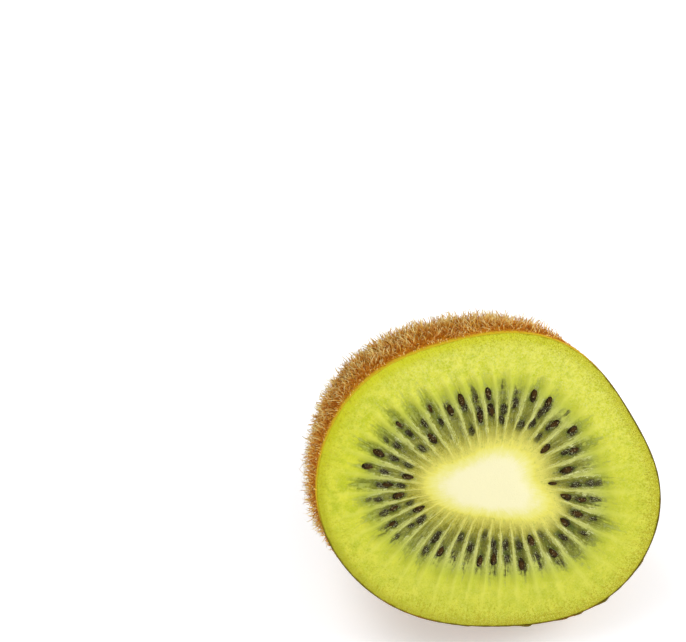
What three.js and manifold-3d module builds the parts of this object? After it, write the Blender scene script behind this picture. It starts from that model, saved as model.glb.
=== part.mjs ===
// Half of a green kiwifruit, cut straight across its middle. It lies on its round side with the
// cut face leaning back, on a small flat spot where the soft fruit settles.
// Millimetres, +Z up. The origin is the middle of that flat spot, and the cut face looks towards -Y.
//
// The fruit is first built in its own frame: the cut face in the XY plane, Y up the face, Z out of
// the face, and the dome below it along -Z. Then it is leaned back and trimmed where it rests.
import * as THREE from 'three';
import { mergeVertices } from 'three/addons/utils/BufferGeometryUtils.js';
import Module from 'manifold-3d';

// ---- Driving dimensions, in millimetres and degrees ----

// The cut face: an uneven oval. Each wave is [crests round the rim, share of the radius, crest angle].
const FACE_LONG = 53.2;
const FACE_SHORT = 45.9;
const FACE_TURN = -20.1;
const FACE_MIDDLE = [0.23, -0.31];
const FACE_WAVES = [[3, 0.0275, -25.4], [4, 0.0143, -14.5], [5, 0.0079, 13.4], [6, 0.0071, 20.6]];

// The pale core in the middle of the face: a rounded triangle.
const CORE_LONG = 19.0;
const CORE_SHORT = 11.5;
const CORE_TURN = -14.3;
const CORE_MIDDLE = [0.18, -0.22];
const CORE_WAVES = [[3, 0.145, -39.2], [4, 0.05, -20.7]];
const CORE_CROWN = 0.3;
const CORE_SLOPE_FROM = -0.6;
const CORE_SLOPE_TO = 0.05;

// The locules: narrow chambers with the seeds in them, round the core, with a thin wall between two.
// They aren't evenly wide, and their walls lean a little sideways on the way out.
const LOCULES = 39;
const LOCULE_START = 10.2;
const LOCULE_SPREAD = [[1, 6.8, 98], [2, 6.6, 40], [3, 1.3, 40]];
const LOCULE_LEAN = 4.6;
const LOCULE_LEAN_WAVES = [[2, 3.9, 70], [3, 6.7, -20], [4, 2.4, -4]];
const LOCULE_SINK = 0.45;
const LOCULE_SINK_BY = 0.12;
// Where the seeds end, as a share of the way from the core to the rim, and the side it is largest on.
const LOCULE_REACH = 0.552;
const LOCULE_REACH_SWING = 0.063;
const LOCULE_REACH_SIDE = 166;
const LOCULE_FADE = 0.2;

// The dome: how far it reaches behind the cut face, and how full its curve is.
const DOME_DEPTH = 33.5;
const DOME_FULLNESS_OUT = 2.05;
const DOME_FULLNESS_DOWN = 2.15;
const DOME_SWELL = 0.02;
const DOME_SWELL_SIDE = 115;
const DOME_EVENS_OUT = 0.8;
const POLE_SHIFT = [-3, 2];
const RIM_ROUND = 0.35;
const RIM_ROUND_FROM = 0.93;
const RIM_ROUND_SLOPE = 6;

// The stalk end: a shallow dimple with a puffy shoulder round it, and a woody scar in the middle.
const DIMPLE_RADIUS = 0.3;
const DIMPLE_DEPTH = 1.3;
const SHOULDER_RADIUS = 0.42;
const SHOULDER_WIDTH = 0.2;
const SHOULDER_HEIGHT = 0.5;
const SHOULDER_LOW_SHARE = 0.2;
const SHOULDER_HIGH_SIDE = 25;
const SCAR_RADIUS = 1.7;
const SCAR_TOP_RADIUS = 1.3;
const SCAR_HEIGHT = 2.2;
const SCAR_PROUD = 0.9;
const SCAR_SIDES = 9;

// The seeds: flat, pointed ovals that lie half sunk along their locule.
const SEED_LENGTH = 2.25;
const SEED_WIDTH = 1.2;
const SEED_THICKNESS = 1.0;
const SEED_TAPER = 0.5;
const SEED_PROUD = 0.42;
const SEED_GAP = 1.9;
const SEED_SIDE_SHIFT = 0.08;
const SEED_AIM = 0.05;
const SEED_TWIST = 12;
const SEED_SIZES = [0.85, 1.1];
// Each row: the nearest and farthest share of the way out, and how often a locule has such a seed.
const SEED_ROWS = [[0.12, 0.31, 0.5], [0.3, 0.49, 0.62]];
const SEED_RANDOM_START = 20260;

// How it lies: the face leans back from upright, and its middle stands here from the flat spot.
const LEAN_BACK = 30;
const FACE_PLACE = [-2.1, -8.25, 25.6];

// How finely it is divided: rings up the dome by slope, rings in over the face by share, and columns.
const DOME_STEPS = [90, 88, 84, 79, 73, 66, 58, 50, 41, 32, 23, 14, 6, 0];
const FACE_STEPS = [0.98, 0.86, 0.72, 0.58, 0.44, 0.3, 0.16, 0.06, 0, -0.12, -0.55, -1];
const COLUMNS_PER_LOCULE = 3;
const MERGE_DISTANCE = 0.0001;

// ---- Small helpers ----

const radians = (degrees) => degrees * Math.PI / 180;
const mix = (a, b, share) => a + (b - a) * share;

// A smooth step from 0 to 1.
function rise(from, to, value) {
  const share = Math.min(1, Math.max(0, (value - from) / (to - from)));
  return share * share * (3 - 2 * share);
}

function waveSum(waves, degrees) {
  const heights = waves.map(([crests, size, at]) => size * Math.cos(radians(crests * (degrees - at))));
  return heights.reduce((sum, height) => sum + height, 0);
}

// A stream of numbers from 0 to 1 that is the same on every run.
function randomStream(start) {
  const multiplier = 1664525;
  const increment = 1013904223;
  const range = 2 ** 32;
  let state = start;
  return () => {
    state = (Math.imul(state, multiplier) + increment) >>> 0;
    return state / range;
  };
}

// A point on an uneven oval. The angle is counted from its long axis.
function ovalPoint(middle, long, short, turn, swell, degrees) {
  const along = 0.5 * long * swell * Math.cos(radians(degrees));
  const across = 0.5 * short * swell * Math.sin(radians(degrees));
  const c = Math.cos(radians(turn));
  const s = Math.sin(radians(turn));
  return [middle[0] + along * c - across * s, middle[1] + along * s + across * c];
}

// ---- The cut face ----

function rimPoint(degrees, waveShare = 1) {
  const swell = 1 + waveShare * waveSum(FACE_WAVES, degrees);
  return ovalPoint(FACE_MIDDLE, FACE_LONG, FACE_SHORT, FACE_TURN, swell, degrees);
}

function corePoint(degrees) {
  const swell = 1 + waveSum(CORE_WAVES, degrees);
  return ovalPoint(CORE_MIDDLE, CORE_LONG, CORE_SHORT, CORE_TURN, swell, degrees);
}

// The angle of locule number "locule" (whole numbers are its walls) at a share of the way out.
function loculeAngle(locule, out) {
  const even = 360 * locule / LOCULES;
  const middle = LOCULE_START + even + waveSum(LOCULE_SPREAD, even);
  return middle + (out - 0.5) * (LOCULE_LEAN + waveSum(LOCULE_LEAN_WAVES, even));
}

function loculeReach(degrees) {
  return LOCULE_REACH + LOCULE_REACH_SWING * Math.cos(radians(degrees - LOCULE_REACH_SIDE));
}

// A place on the face: out is -1 in the middle, 0 at the edge of the core and 1 at the rim.
function facePlace(locule, out) {
  const angle = loculeAngle(locule, Math.max(0, out));
  const core = corePoint(angle);
  if (out < 0) return core.map((value, axis) => mix(CORE_MIDDLE[axis], value, 1 + out));
  const rim = rimPoint(angle);
  return core.map((value, axis) => mix(value, rim[axis], out));
}

// The relief of the cut: the core swells, the locules sink between their walls, the rim rounds off.
function faceHeight(locule, out) {
  const crown = CORE_CROWN * (1 - rise(CORE_SLOPE_FROM, CORE_SLOPE_TO, out));
  const reach = loculeReach(loculeAngle(locule, 0.5));
  const inZone = rise(0, LOCULE_SINK_BY, out) * (1 - rise(reach, reach + LOCULE_FADE, out));
  const betweenWalls = Math.abs(Math.sin(Math.PI * locule));
  return crown - LOCULE_SINK * inZone * betweenWalls - RIM_ROUND * rise(RIM_ROUND_FROM, 1, out);
}

// ---- The dome ----

// A place on the dome: slope is 0 at the rim and 90 at the stalk end.
function domePlace(locule, slope) {
  const angle = loculeAngle(locule, 1);
  const down = Math.sin(radians(slope)) ** (2 / DOME_FULLNESS_DOWN);
  const width = Math.max(0, Math.cos(radians(slope))) ** (2 / DOME_FULLNESS_OUT);
  const rim = rimPoint(angle, 1 - DOME_EVENS_OUT * down);
  const twoSides = Math.cos(radians(2 * (angle - DOME_SWELL_SIDE)));
  const swell = 1 + DOME_SWELL * twoSides * Math.sin(radians(2 * slope));
  const [x, y] = rim.map((value, axis) => value * width * swell + POLE_SHIFT[axis] * down * down);
  const edge = RIM_ROUND * (1 - rise(0, RIM_ROUND_SLOPE, slope));
  return [x, y, stalkEndRise(angle, width) - DOME_DEPTH * down - edge];
}

// How far the stalk end stands in from the plain dome: its dimple, less the shoulder round it.
function stalkEndRise(angle, width) {
  const dimple = DIMPLE_DEPTH * (1 - rise(0, DIMPLE_RADIUS, width));
  const ring = 1 - rise(0, SHOULDER_WIDTH, Math.abs(width - SHOULDER_RADIUS));
  const highSide = 0.5 + 0.5 * Math.cos(radians(2 * (angle - SHOULDER_HIGH_SIDE)));
  return dimple - SHOULDER_HEIGHT * ring * mix(SHOULDER_LOW_SHARE, 1, highSide);
}

// ---- From three.js geometry to a solid and back ----

const wasm = await Module();
wasm.setup();

// The same closed surface as a solid: shared corners are merged, and faces with no area are left out.
function toSolid(geometry) {
  geometry.deleteAttribute('normal');
  geometry.deleteAttribute('uv');
  const merged = mergeVertices(geometry, MERGE_DISTANCE);
  const index = merged.index.array;
  const triVerts = [];
  for (let i = 0; i < index.length; i += 3) {
    const [a, b, c] = index.slice(i, i + 3);
    if (a !== b && b !== c && c !== a) triVerts.push(a, b, c);
  }
  return new wasm.Manifold(new wasm.Mesh({
    numProp: 3,
    vertProperties: merged.attributes.position.array,
    triVerts: new Uint32Array(triVerts),
  }));
}

function toGeometry(solid) {
  const mesh = solid.getMesh();
  const geometry = new THREE.BufferGeometry();
  geometry.setAttribute('position', new THREE.BufferAttribute(mesh.vertProperties, 3));
  geometry.setIndex(new THREE.BufferAttribute(mesh.triVerts, 1));
  geometry.computeVertexNormals();
  return geometry;
}

// ---- The pieces of the fruit, each in the fruit's own frame ----

// Flesh, core and skin: one lathe body. Its rings run from the stalk end up the dome and in over the
// face, and each ring then takes its own uneven outline.
function fruitBody() {
  const rings = [
    ...DOME_STEPS.map((slope) => (locule) => domePlace(locule, slope)),
    ...FACE_STEPS.map((out) => (locule) => [...facePlace(locule, out), faceHeight(locule, out)]),
  ];
  const columns = LOCULES * COLUMNS_PER_LOCULE;
  const last = rings.length - 1;
  const profile = rings.map((ring, i) => new THREE.Vector2(Math.sin(Math.PI * i / last), i));
  const geometry = new THREE.LatheGeometry(profile, columns);
  const position = geometry.attributes.position;
  for (let column = 0; column <= columns; column += 1) {
    const locule = (column % columns) / COLUMNS_PER_LOCULE;
    rings.forEach((ring, i) => position.setXYZ(column * rings.length + i, ...ring(locule)));
  }
  return geometry;
}

// The woody scar that the stalk leaves in the dimple.
function stalkScar() {
  const geometry = new THREE.CylinderGeometry(SCAR_RADIUS, SCAR_TOP_RADIUS, SCAR_HEIGHT, SCAR_SIDES);
  const dimpleFloor = -DOME_DEPTH + DIMPLE_DEPTH;
  geometry.rotateX(Math.PI / 2);
  geometry.translate(POLE_SHIFT[0], POLE_SHIFT[1], dimpleFloor - SCAR_PROUD + 0.5 * SCAR_HEIGHT);
  return geometry;
}

// Where each seed lies: up to two in a locule, clear of each other.
function seedPlaces() {
  const random = randomStream(SEED_RANDOM_START);
  const places = [];
  for (let locule = 0; locule < LOCULES; locule += 1) {
    for (const [from, to, chance] of SEED_ROWS) {
      const lies = random() < chance;
      const across = locule + 0.5 + mix(-SEED_SIDE_SHIFT, SEED_SIDE_SHIFT, random());
      const reach = loculeReach(loculeAngle(across, 0.5)) / LOCULE_REACH;
      const out = mix(from, to, random()) * reach;
      const twist = mix(-SEED_TWIST, SEED_TWIST, random());
      const size = mix(...SEED_SIZES, random());
      const [x, y] = facePlace(across, out);
      const clear = places.every((other) => Math.hypot(other.x - x, other.y - y) > SEED_GAP);
      if (lies && clear) places.push({ across, out, x, y, twist, size });
    }
  }
  return places;
}

function seed({ across, out, x, y, twist, size }) {
  const [innerX, innerY] = facePlace(across, out - SEED_AIM);
  const [outerX, outerY] = facePlace(across, out + SEED_AIM);
  const along = Math.atan2(outerY - innerY, outerX - innerX) + radians(twist);
  const geometry = new THREE.SphereGeometry(0.5, 5, 4);
  const position = geometry.attributes.position;
  for (let i = 0; i < position.count; i += 1) {
    const taper = 1 + SEED_TAPER * position.getY(i);
    position.setX(i, position.getX(i) * taper);
  }
  geometry.scale(SEED_WIDTH * size, SEED_LENGTH * size, SEED_THICKNESS * size);
  geometry.rotateZ(along - Math.PI / 2);
  const top = faceHeight(across, out) + SEED_PROUD;
  geometry.translate(x, y, top - 0.5 * SEED_THICKNESS * size);
  return geometry;
}

// The slab that trims the fruit flat where it rests.
function floorSlab() {
  const side = 3 * FACE_LONG;
  const thickness = FACE_LONG;
  return new THREE.BoxGeometry(side, side, thickness).translate(0, 0, -0.5 * thickness);
}

// ---- The half fruit ----

const pieces = [stalkScar(), ...seedPlaces().map(seed)];
const fruit = pieces.reduce((whole, piece) => whole.add(toSolid(piece)), toSolid(fruitBody()));
const leaned = fruit.rotate([90 - LEAN_BACK, 0, 0]).translate(FACE_PLACE);
const rested = leaned.subtract(toSolid(floorSlab()));

const flesh = new THREE.MeshStandardMaterial({ color: 0xc6cf3e, roughness: 0.4, metalness: 0 });
const half = new THREE.Mesh(toGeometry(rested), flesh);
half.name = 'kiwi_half';

const part = new THREE.Group();
part.add(half);
export default part;
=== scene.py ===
# %% [markdown]
# # Half a kiwi fruit
# This lesson dresses one solid, half a kiwi fruit, with everything that makes it look like fruit: the
# wet green flesh with its pale core and rays, the dark seeds, the thin brown skin and its fuzz.
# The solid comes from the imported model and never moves. All pieces are made around it, in metres.

# %% Load the frame
import math

import bpy
import numpy as np
from mathutils import Matrix, Vector, noise


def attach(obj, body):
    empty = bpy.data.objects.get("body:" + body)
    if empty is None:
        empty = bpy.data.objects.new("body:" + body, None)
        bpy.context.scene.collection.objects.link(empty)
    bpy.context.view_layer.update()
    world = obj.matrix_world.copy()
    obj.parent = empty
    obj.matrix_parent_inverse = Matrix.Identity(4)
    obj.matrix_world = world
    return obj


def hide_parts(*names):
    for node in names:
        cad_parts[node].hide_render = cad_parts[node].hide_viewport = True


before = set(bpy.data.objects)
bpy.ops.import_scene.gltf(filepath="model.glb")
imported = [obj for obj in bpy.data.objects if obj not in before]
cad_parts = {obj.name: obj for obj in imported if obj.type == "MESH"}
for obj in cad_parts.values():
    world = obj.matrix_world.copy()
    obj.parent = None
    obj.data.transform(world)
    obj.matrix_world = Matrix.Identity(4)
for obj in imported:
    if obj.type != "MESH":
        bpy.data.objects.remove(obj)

MM = 0.001
# Without a seed, noise vectors would start from the clock.
noise.seed_set(3)
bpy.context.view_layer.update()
print("solids to dress:", sorted(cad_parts))

# %% [markdown]
# ## The camera
# The view looks down on the fruit from a little to the left, with a long lens, so that the cut face
# is seen almost square on. The camera is placed by working back from the picture: a line from the
# lens through one known pixel has to meet the middle of the cut face at the chosen distance.

# %% The camera
IMAGE_WIDTH = 686
IMAGE_HEIGHT = 642
SENSOR_WIDTH = 36
LENS = 157
VIEW_AZIMUTH = math.radians(-10)
VIEW_ELEVATION = math.radians(43.5)
VIEW_DISTANCE = 450 * MM
FACE_PIXEL = (489.35, 484.2)
FACE_PLACE = Vector((-2.1, -8.25, 25.6)) * MM


def add_camera():
    level = math.cos(VIEW_ELEVATION)
    back = Vector((math.sin(VIEW_AZIMUTH) * level, -math.cos(VIEW_AZIMUTH) * level,
                   math.sin(VIEW_ELEVATION)))
    right = Vector((0, 0, 1)).cross(back).normalized()
    up = back.cross(right)
    focal_pixels = LENS / SENSOR_WIDTH * IMAGE_WIDTH
    across = FACE_PIXEL[0] - IMAGE_WIDTH / 2
    down = FACE_PIXEL[1] - IMAGE_HEIGHT / 2
    to_face = (right * across - up * down - back * focal_pixels).normalized()
    turn = Matrix((right, up, back)).transposed().to_euler()
    bpy.ops.object.camera_add(location=FACE_PLACE - to_face * VIEW_DISTANCE, rotation=turn)
    camera = bpy.context.object
    camera.data.lens = LENS
    camera.data.sensor_width = SENSOR_WIDTH
    camera.data.clip_start = 10 * MM
    bpy.context.scene.camera = camera
    return camera


camera = add_camera()
print("camera at", [round(value, 3) for value in camera.location])

# %% [markdown]
# ## Shader maths as plain sums
# A pattern is a sum of simple signals. The small class below wraps a socket, so that `1 - mask` or
# `wall * zone` adds the Math nodes by itself. Every other node comes from one method, `node`.


# %% Signals and finishes
class Signal:
    """A socket of a finish. Sums with it add Math nodes."""

    def __init__(self, finish, socket):
        self.finish = finish
        self.socket = socket

    def maths(self, operation, other=0.0, swapped=False):
        first, second = (other, self) if swapped else (self, other)
        return self.finish.node("Math", {"operation": operation}, {0: first, 1: second})

    def __add__(self, other):
        return self.maths("ADD", other)

    __radd__ = __add__

    def __sub__(self, other):
        return self.maths("SUBTRACT", other)

    def __rsub__(self, other):
        return self.maths("SUBTRACT", other, swapped=True)

    def __mul__(self, other):
        return self.maths("MULTIPLY", other)

    __rmul__ = __mul__

    def __truediv__(self, other):
        return self.maths("DIVIDE", other)

    def __abs__(self):
        return self.maths("ABSOLUTE")

    def rise(self, low, high):
        """A smooth step from 0 at low to 1 at high."""
        return self.finish.node("MapRange", {"interpolation_type": "SMOOTHSTEP"},
                                {"Value": self, "From Min": low, "From Max": high})


class Finish:
    """A new material, with one way to add a node to it."""

    def __init__(self, name, **shader):
        self.material = bpy.data.materials.new(name)
        self.material.use_nodes = True
        self.tree = self.material.node_tree
        self.shader = self.tree.nodes["Principled BSDF"]
        self.place = self.node("TexCoord", output="Object")
        for socket, value in shader.items():
            self.shader.inputs[socket.replace("_", " ")].default_value = value

    def node(self, kind, settings=None, sockets=None, output=0):
        added = self.tree.nodes.new("ShaderNode" + kind)
        for name, value in (settings or {}).items():
            setattr(added, name, value)
        for name, value in (sockets or {}).items():
            if isinstance(value, Signal):
                self.tree.links.new(value.socket, added.inputs[name])
            else:
                added.inputs[name].default_value = value
        return Signal(self, added.outputs[output])

    def mix(self, share, low, high):
        """From colour low to colour high."""
        return self.node("Mix", {"data_type": "RGBA"}, {0: share, 6: low, 7: high}, 2)

    def layers(self, base, *coats):
        """Lays colours over a first one, each as far as its share says."""
        for share, tint in coats:
            base = self.mix(share, base, tint)
        return base

    def noise(self, size, detail=2.0, roughness=0.5, place=None):
        """Soft noise from 0 to 1 whose blobs are about size across."""
        return self.node("TexNoise", None, {"Vector": place or self.place, "Scale": 1 / size,
                                            "Detail": detail, "Roughness": roughness})

    def attribute(self, name):
        return self.node("Attribute", {"attribute_name": name}, None, "Fac")

    def map_ways(self, name):
        """The two ways of a UV map, each as a signal."""
        place = self.node("UVMap", {"uv_map": name})
        return [self.node("SeparateXYZ", None, {0: place}, way) for way in (0, 1)]

    def bump(self, height, depth, strength):
        return self.node("Bump", None, {"Height": height, "Distance": depth, "Strength": strength})

    def feed(self, **signals):
        for socket, signal in signals.items():
            self.tree.links.new(signal.socket, self.shader.inputs[socket.replace("_", " ")])


def colour(red, green, blue):
    """A screen colour, 0 to 255, as the linear colour that shaders use."""
    def linear(value):
        share = value / 255
        return share / 12.92 if share <= 0.04045 else ((share + 0.055) / 1.055) ** 2.4
    return (linear(red), linear(green), linear(blue), 1.0)


def wear(thing, finish):
    thing.data.materials.append(finish.material)
    print(thing.name, "wears", finish.material.name, "made of", len(finish.tree.nodes), "nodes")


print("middle grey in a shader:", round(colour(128, 128, 128)[0], 3))

# %% [markdown]
# ## Floor and light
# A soft white studio: a pale floor, an even white sky so that nothing goes black, and four large
# lamps, of which the one behind lights up the fuzz. The plain Standard view shows colours as they
# are, because a film look would dull the lime green.

# %% Floor and light
WHITE = (1, 1, 1, 1)
FLOOR_SIZE = 6.0
FLOOR_PAINT = (0.91, 0.93, 0.96, 1)
FLOOR_GLOW = 0.3
SKY_STRENGTH = 0.5
LAMP_AIM = Vector((0, 0, 0.02))
# Each lamp: where it is, its side length and its power in watts.
LAMPS = {
    "right": (Vector((0.58, -0.14, 0.46)), 0.4, 2.3),
    "left": (Vector((-0.3, 0.0, 0.72)), 0.4, 0.7),
    "back": (Vector((-0.3, 0.34, 0.6)), 0.4, 1.6),
    "front": (Vector((0.12, -0.74, 0.34)), 0.35, 1.1),
}


def add_floor():
    bpy.ops.mesh.primitive_plane_add(size=FLOOR_SIZE)
    floor = bpy.context.object
    floor.name = "floor"
    wear(floor, Finish("floor", Base_Color=FLOOR_PAINT, Roughness=0.9, Specular_IOR_Level=0.1,
                       Emission_Color=WHITE, Emission_Strength=FLOOR_GLOW))


def add_lamp(name, place, side, power):
    aim = (LAMP_AIM - place).to_track_quat("-Z", "Y").to_euler()
    bpy.ops.object.light_add(type="AREA", location=place, rotation=aim)
    lamp = bpy.context.object
    lamp.name = name
    lamp.data.size = side
    lamp.data.energy = power


def add_sky():
    world = bpy.data.worlds.new("sky")
    world.use_nodes = True
    background = world.node_tree.nodes["Background"]
    background.inputs["Color"].default_value = WHITE
    background.inputs["Strength"].default_value = SKY_STRENGTH
    bpy.context.scene.world = world


add_floor()
for lamp_name, settings in LAMPS.items():
    add_lamp(lamp_name, *settings)
add_sky()
bpy.context.scene.view_settings.view_transform = "Standard"
print("lamps:", len(LAMPS))

# %% [markdown]
# ## The lines of a kiwi fruit
# Cut across, the fruit is an uneven oval with a pale core, a rounded triangle, in its middle. Between
# them stand about forty narrow chambers, the locules, with thin walls like spokes. So a place on the
# face is given by two numbers that follow the fruit: which locule it lies in, and how far out it is
# from the core, at 0, to the rim, at 1. Every piece below uses these same few functions, in
# millimetres, which repeat the sizes of the solid.

# %% Sizes of the fruit, in millimetres and degrees
LEAN_BACK = 30
FACE_LONG = 53.2
FACE_SHORT = 45.9
FACE_TURN = -20.1
FACE_MIDDLE = (0.23, -0.31)
FACE_WAVES = ((3, 0.0275, -25.4), (4, 0.0143, -14.5), (5, 0.0079, 13.4), (6, 0.0071, 20.6))
CORE_LONG = 19.0
CORE_SHORT = 11.5
CORE_TURN = -14.3
CORE_MIDDLE = (0.18, -0.22)
CORE_WAVES = ((3, 0.145, -39.2), (4, 0.05, -20.7))
CORE_CROWN = 0.3
CORE_SLOPE_FROM = -0.6
CORE_SLOPE_TO = 0.05
LOCULES = 39
LOCULE_START = 10.2
LOCULE_SPREAD = ((1, 6.8, 98), (2, 6.6, 40), (3, 1.3, 40))
LOCULE_LEAN = 4.6
LOCULE_LEAN_WAVES = ((2, 3.9, 70), (3, 6.7, -20), (4, 2.4, -4))
LOCULE_SINK = 0.45
LOCULE_SINK_BY = 0.12
LOCULE_REACH = 0.552
LOCULE_REACH_SWING = 0.063
LOCULE_REACH_SIDE = 166
LOCULE_FADE = 0.2
DOME_DEPTH = 33.5
DOME_FULLNESS_OUT = 2.05
DOME_FULLNESS_DOWN = 2.15
DOME_SWELL = 0.02
DOME_SWELL_SIDE = 115
DOME_EVENS_OUT = 0.8
POLE_SHIFT = (-3, 2)
RIM_ROUND = 0.35
RIM_ROUND_FROM = 0.93
RIM_ROUND_SLOPE = 6
DIMPLE_RADIUS = 0.3
DIMPLE_DEPTH = 1.3
SHOULDER_RADIUS = 0.42
SHOULDER_WIDTH = 0.2
SHOULDER_HEIGHT = 0.5
SHOULDER_LOW_SHARE = 0.2
SHOULDER_HIGH_SIDE = 25
print("the fruit was", 2 * DOME_DEPTH, "mm long")


# %% Places on the fruit
def rise(low, high, value):
    share = np.clip((value - low) / (high - low), 0, 1)
    return share * share * (3 - 2 * share)


def mix(low, high, share):
    return low + (high - low) * share


def cos_of(degrees):
    return np.cos(np.radians(degrees))


def sin_of(degrees):
    return np.sin(np.radians(degrees))


def wave_sum(waves, degrees):
    return sum(size * cos_of(crests * (degrees - at)) for crests, size, at in waves)


def oval(middle, long, short, turn, swell, degrees):
    along = 0.5 * long * swell * cos_of(degrees)
    across = 0.5 * short * swell * sin_of(degrees)
    return (middle[0] + along * cos_of(turn) - across * sin_of(turn),
            middle[1] + along * sin_of(turn) + across * cos_of(turn))


def rim_point(degrees, wave_share=1.0):
    swell = 1 + wave_share * wave_sum(FACE_WAVES, degrees)
    return oval(FACE_MIDDLE, FACE_LONG, FACE_SHORT, FACE_TURN, swell, degrees)


def core_point(degrees):
    swell = 1 + wave_sum(CORE_WAVES, degrees)
    return oval(CORE_MIDDLE, CORE_LONG, CORE_SHORT, CORE_TURN, swell, degrees)


def locule_angle(locule, out):
    even = 360 * locule / LOCULES
    middle = LOCULE_START + even + wave_sum(LOCULE_SPREAD, even)
    return middle + (out - 0.5) * (LOCULE_LEAN + wave_sum(LOCULE_LEAN_WAVES, even))


def locule_reach(locule):
    side = locule_angle(locule, 0.5) - LOCULE_REACH_SIDE
    return LOCULE_REACH + LOCULE_REACH_SWING * cos_of(side)


def face_place(locule, out):
    """The place on the face: out is -1 in the middle, 0 at the edge of the core and 1 at the rim."""
    angle = locule_angle(locule, np.maximum(0, out))
    inside = np.clip(1 + out, 0, 1)
    outside = np.clip(out, 0, 1)
    return [mix(mix(middle, core, inside), rim, outside)
            for middle, core, rim in zip(CORE_MIDDLE, core_point(angle), rim_point(angle))]


def dome_place(locule, slope):
    """The place on the dome: slope is 0 at the rim and 90 at the stalk end."""
    angle = locule_angle(locule, 1.0)
    down = sin_of(slope) ** (2 / DOME_FULLNESS_DOWN)
    width = np.maximum(0, cos_of(slope)) ** (2 / DOME_FULLNESS_OUT)
    swell = 1 + DOME_SWELL * cos_of(2 * (angle - DOME_SWELL_SIDE)) * sin_of(2 * slope)
    x, y = (value * width * swell + shift * down * down
            for value, shift in zip(rim_point(angle, 1 - DOME_EVENS_OUT * down), POLE_SHIFT))
    edge = RIM_ROUND * (1 - rise(0, RIM_ROUND_SLOPE, slope))
    return x, y, stalk_end_rise(angle, width) - DOME_DEPTH * down - edge


def stalk_end_rise(angle, width):
    dimple = DIMPLE_DEPTH * (1 - rise(0, DIMPLE_RADIUS, width))
    ring = 1 - rise(0, SHOULDER_WIDTH, np.abs(width - SHOULDER_RADIUS))
    high_side = 0.5 + 0.5 * cos_of(2 * (angle - SHOULDER_HIGH_SIDE))
    return dimple - SHOULDER_HEIGHT * ring * mix(SHOULDER_LOW_SHARE, 1, high_side)


def face_height(locule, out):
    crown = CORE_CROWN * (1 - rise(CORE_SLOPE_FROM, CORE_SLOPE_TO, out))
    reach = locule_reach(locule)
    in_zone = rise(0, LOCULE_SINK_BY, out) * (1 - rise(reach, reach + LOCULE_FADE, out))
    between_walls = np.abs(np.sin(np.pi * locule))
    return crown - LOCULE_SINK * in_zone * between_walls - RIM_ROUND * rise(RIM_ROUND_FROM, 1, out)


LEAN = Matrix.Rotation(math.radians(90 - LEAN_BACK), 3, "X")


def lean_back(points):
    """From the fruit's own frame, in millimetres, to where it lies, in metres."""
    return points @ np.array(LEAN).T * MM + np.array(FACE_PLACE)


print("the core is", CORE_LONG, "mm long and the face", FACE_LONG)


# %% [markdown]
# ## A ball becomes the fruit
# A ball already has what the fruit needs: rings and columns that close at two poles. Its lower half
# becomes the dome and its upper half is pressed flat into the cut face. Only the places of the rings
# and columns change, so the mesh stays closed. The same ball, cut in half first, later gives the skin.


# %% From a ball to the fruit
COLUMNS = LOCULES * 12
RINGS = 180
CORE_LATITUDE = 74


def get_points(thing):
    points = np.empty(len(thing.data.vertices) * 3)
    thing.data.vertices.foreach_get("co", points)
    return points.reshape(-1, 3)


def set_points(thing, points):
    thing.data.vertices.foreach_set("co", np.asarray(points, np.float32).ravel())
    thing.data.update()


def add_ball(name, columns, rings):
    bpy.ops.object.select_all(action="DESELECT")
    bpy.ops.mesh.primitive_uv_sphere_add(segments=columns, ring_count=rings, radius=1)
    ball = bpy.context.object
    ball.name = name
    ball.data.name = name
    bpy.ops.object.shade_smooth()
    return ball


def ball_places(ball):
    """Each point's locule, and its latitude in degrees."""
    x, y, z = get_points(ball).T
    locule = np.degrees(np.arctan2(y, x)) % 360 / 360 * LOCULES
    latitude = np.degrees(np.arcsin(np.clip(z, -1, 1)))
    return locule, latitude


def face_share(latitude):
    """How far out a ring of the upper half lies. Most rings go to the zone outside the core."""
    return np.interp(latitude, [0, CORE_LATITUDE, 90], [1, 0, -1])


print("a ball of", COLUMNS, "columns and", RINGS, "rings")

# %% [markdown]
# ## The seeds' places
# A locule holds up to two seeds where the knife passed, pointing outwards. A simple stream of seeded
# numbers draws them all, so that they lie where the solid has them.


# %% Where the seeds lie
SEED_LENGTH = 2.25
SEED_WIDTH = 1.2
SEED_THICKNESS = 1.0
SEED_PROUD = 0.42
SEED_GAP = 1.9
SEED_SIDE_SHIFT = 0.08
SEED_AIM = 0.05
SEED_TWIST = 12
SEED_SIZES = (0.85, 1.1)
# Each row of seeds: how near and far out they lie, and how often a locule has one.
SEED_ROWS = ((0.12, 0.31, 0.5), (0.3, 0.49, 0.62))
SEED_RANDOM_START = 20260


def random_stream(start):
    state = start
    while True:
        state = (state * 1664525 + 1013904223) % 2**32
        yield state / 2**32


def seed_place(across, out, twist, size):
    x, y = face_place(across, out)
    return {"across": across, "out": out, "x": x, "y": y, "twist": twist, "size": size}


def seed_aim(seed):
    """The angle at which a seed's blunt end points outwards, in radians."""
    inner, outer = (face_place(seed["across"], seed["out"] + step) for step in (-SEED_AIM, SEED_AIM))
    return math.atan2(outer[1] - inner[1], outer[0] - inner[0]) + math.radians(seed["twist"])


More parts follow.
